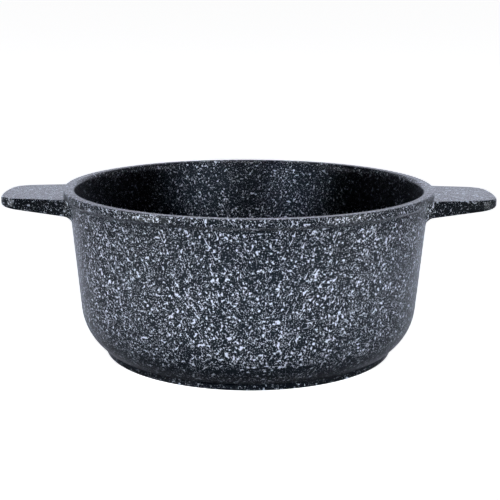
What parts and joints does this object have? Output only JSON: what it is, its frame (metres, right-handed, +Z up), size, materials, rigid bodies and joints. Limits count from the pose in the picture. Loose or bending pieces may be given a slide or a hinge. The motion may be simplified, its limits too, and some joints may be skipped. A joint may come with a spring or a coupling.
{
  "type": "cooking pot",
  "caption": "Round cast aluminium cooking pot with leaning wall, thick rim band, turned foot and flat wing handles, in a speckled coating.",
  "frame": {"origin": "centre of the pot's underside, where the foot stands on the hob", "axes": "+Z up through the open mouth, +X from the centre towards one handle, +Y away from the viewer of the picture"},
  "size_m": [0.3368, 0.2522, 0.1135],
  "materials": {
    "coating": "dark blue-black non-stick coating with fine grey speckles, satin"
  },
  "bodies": {
    "root": {"pot": "coating"}
  },
  "joints": []
}
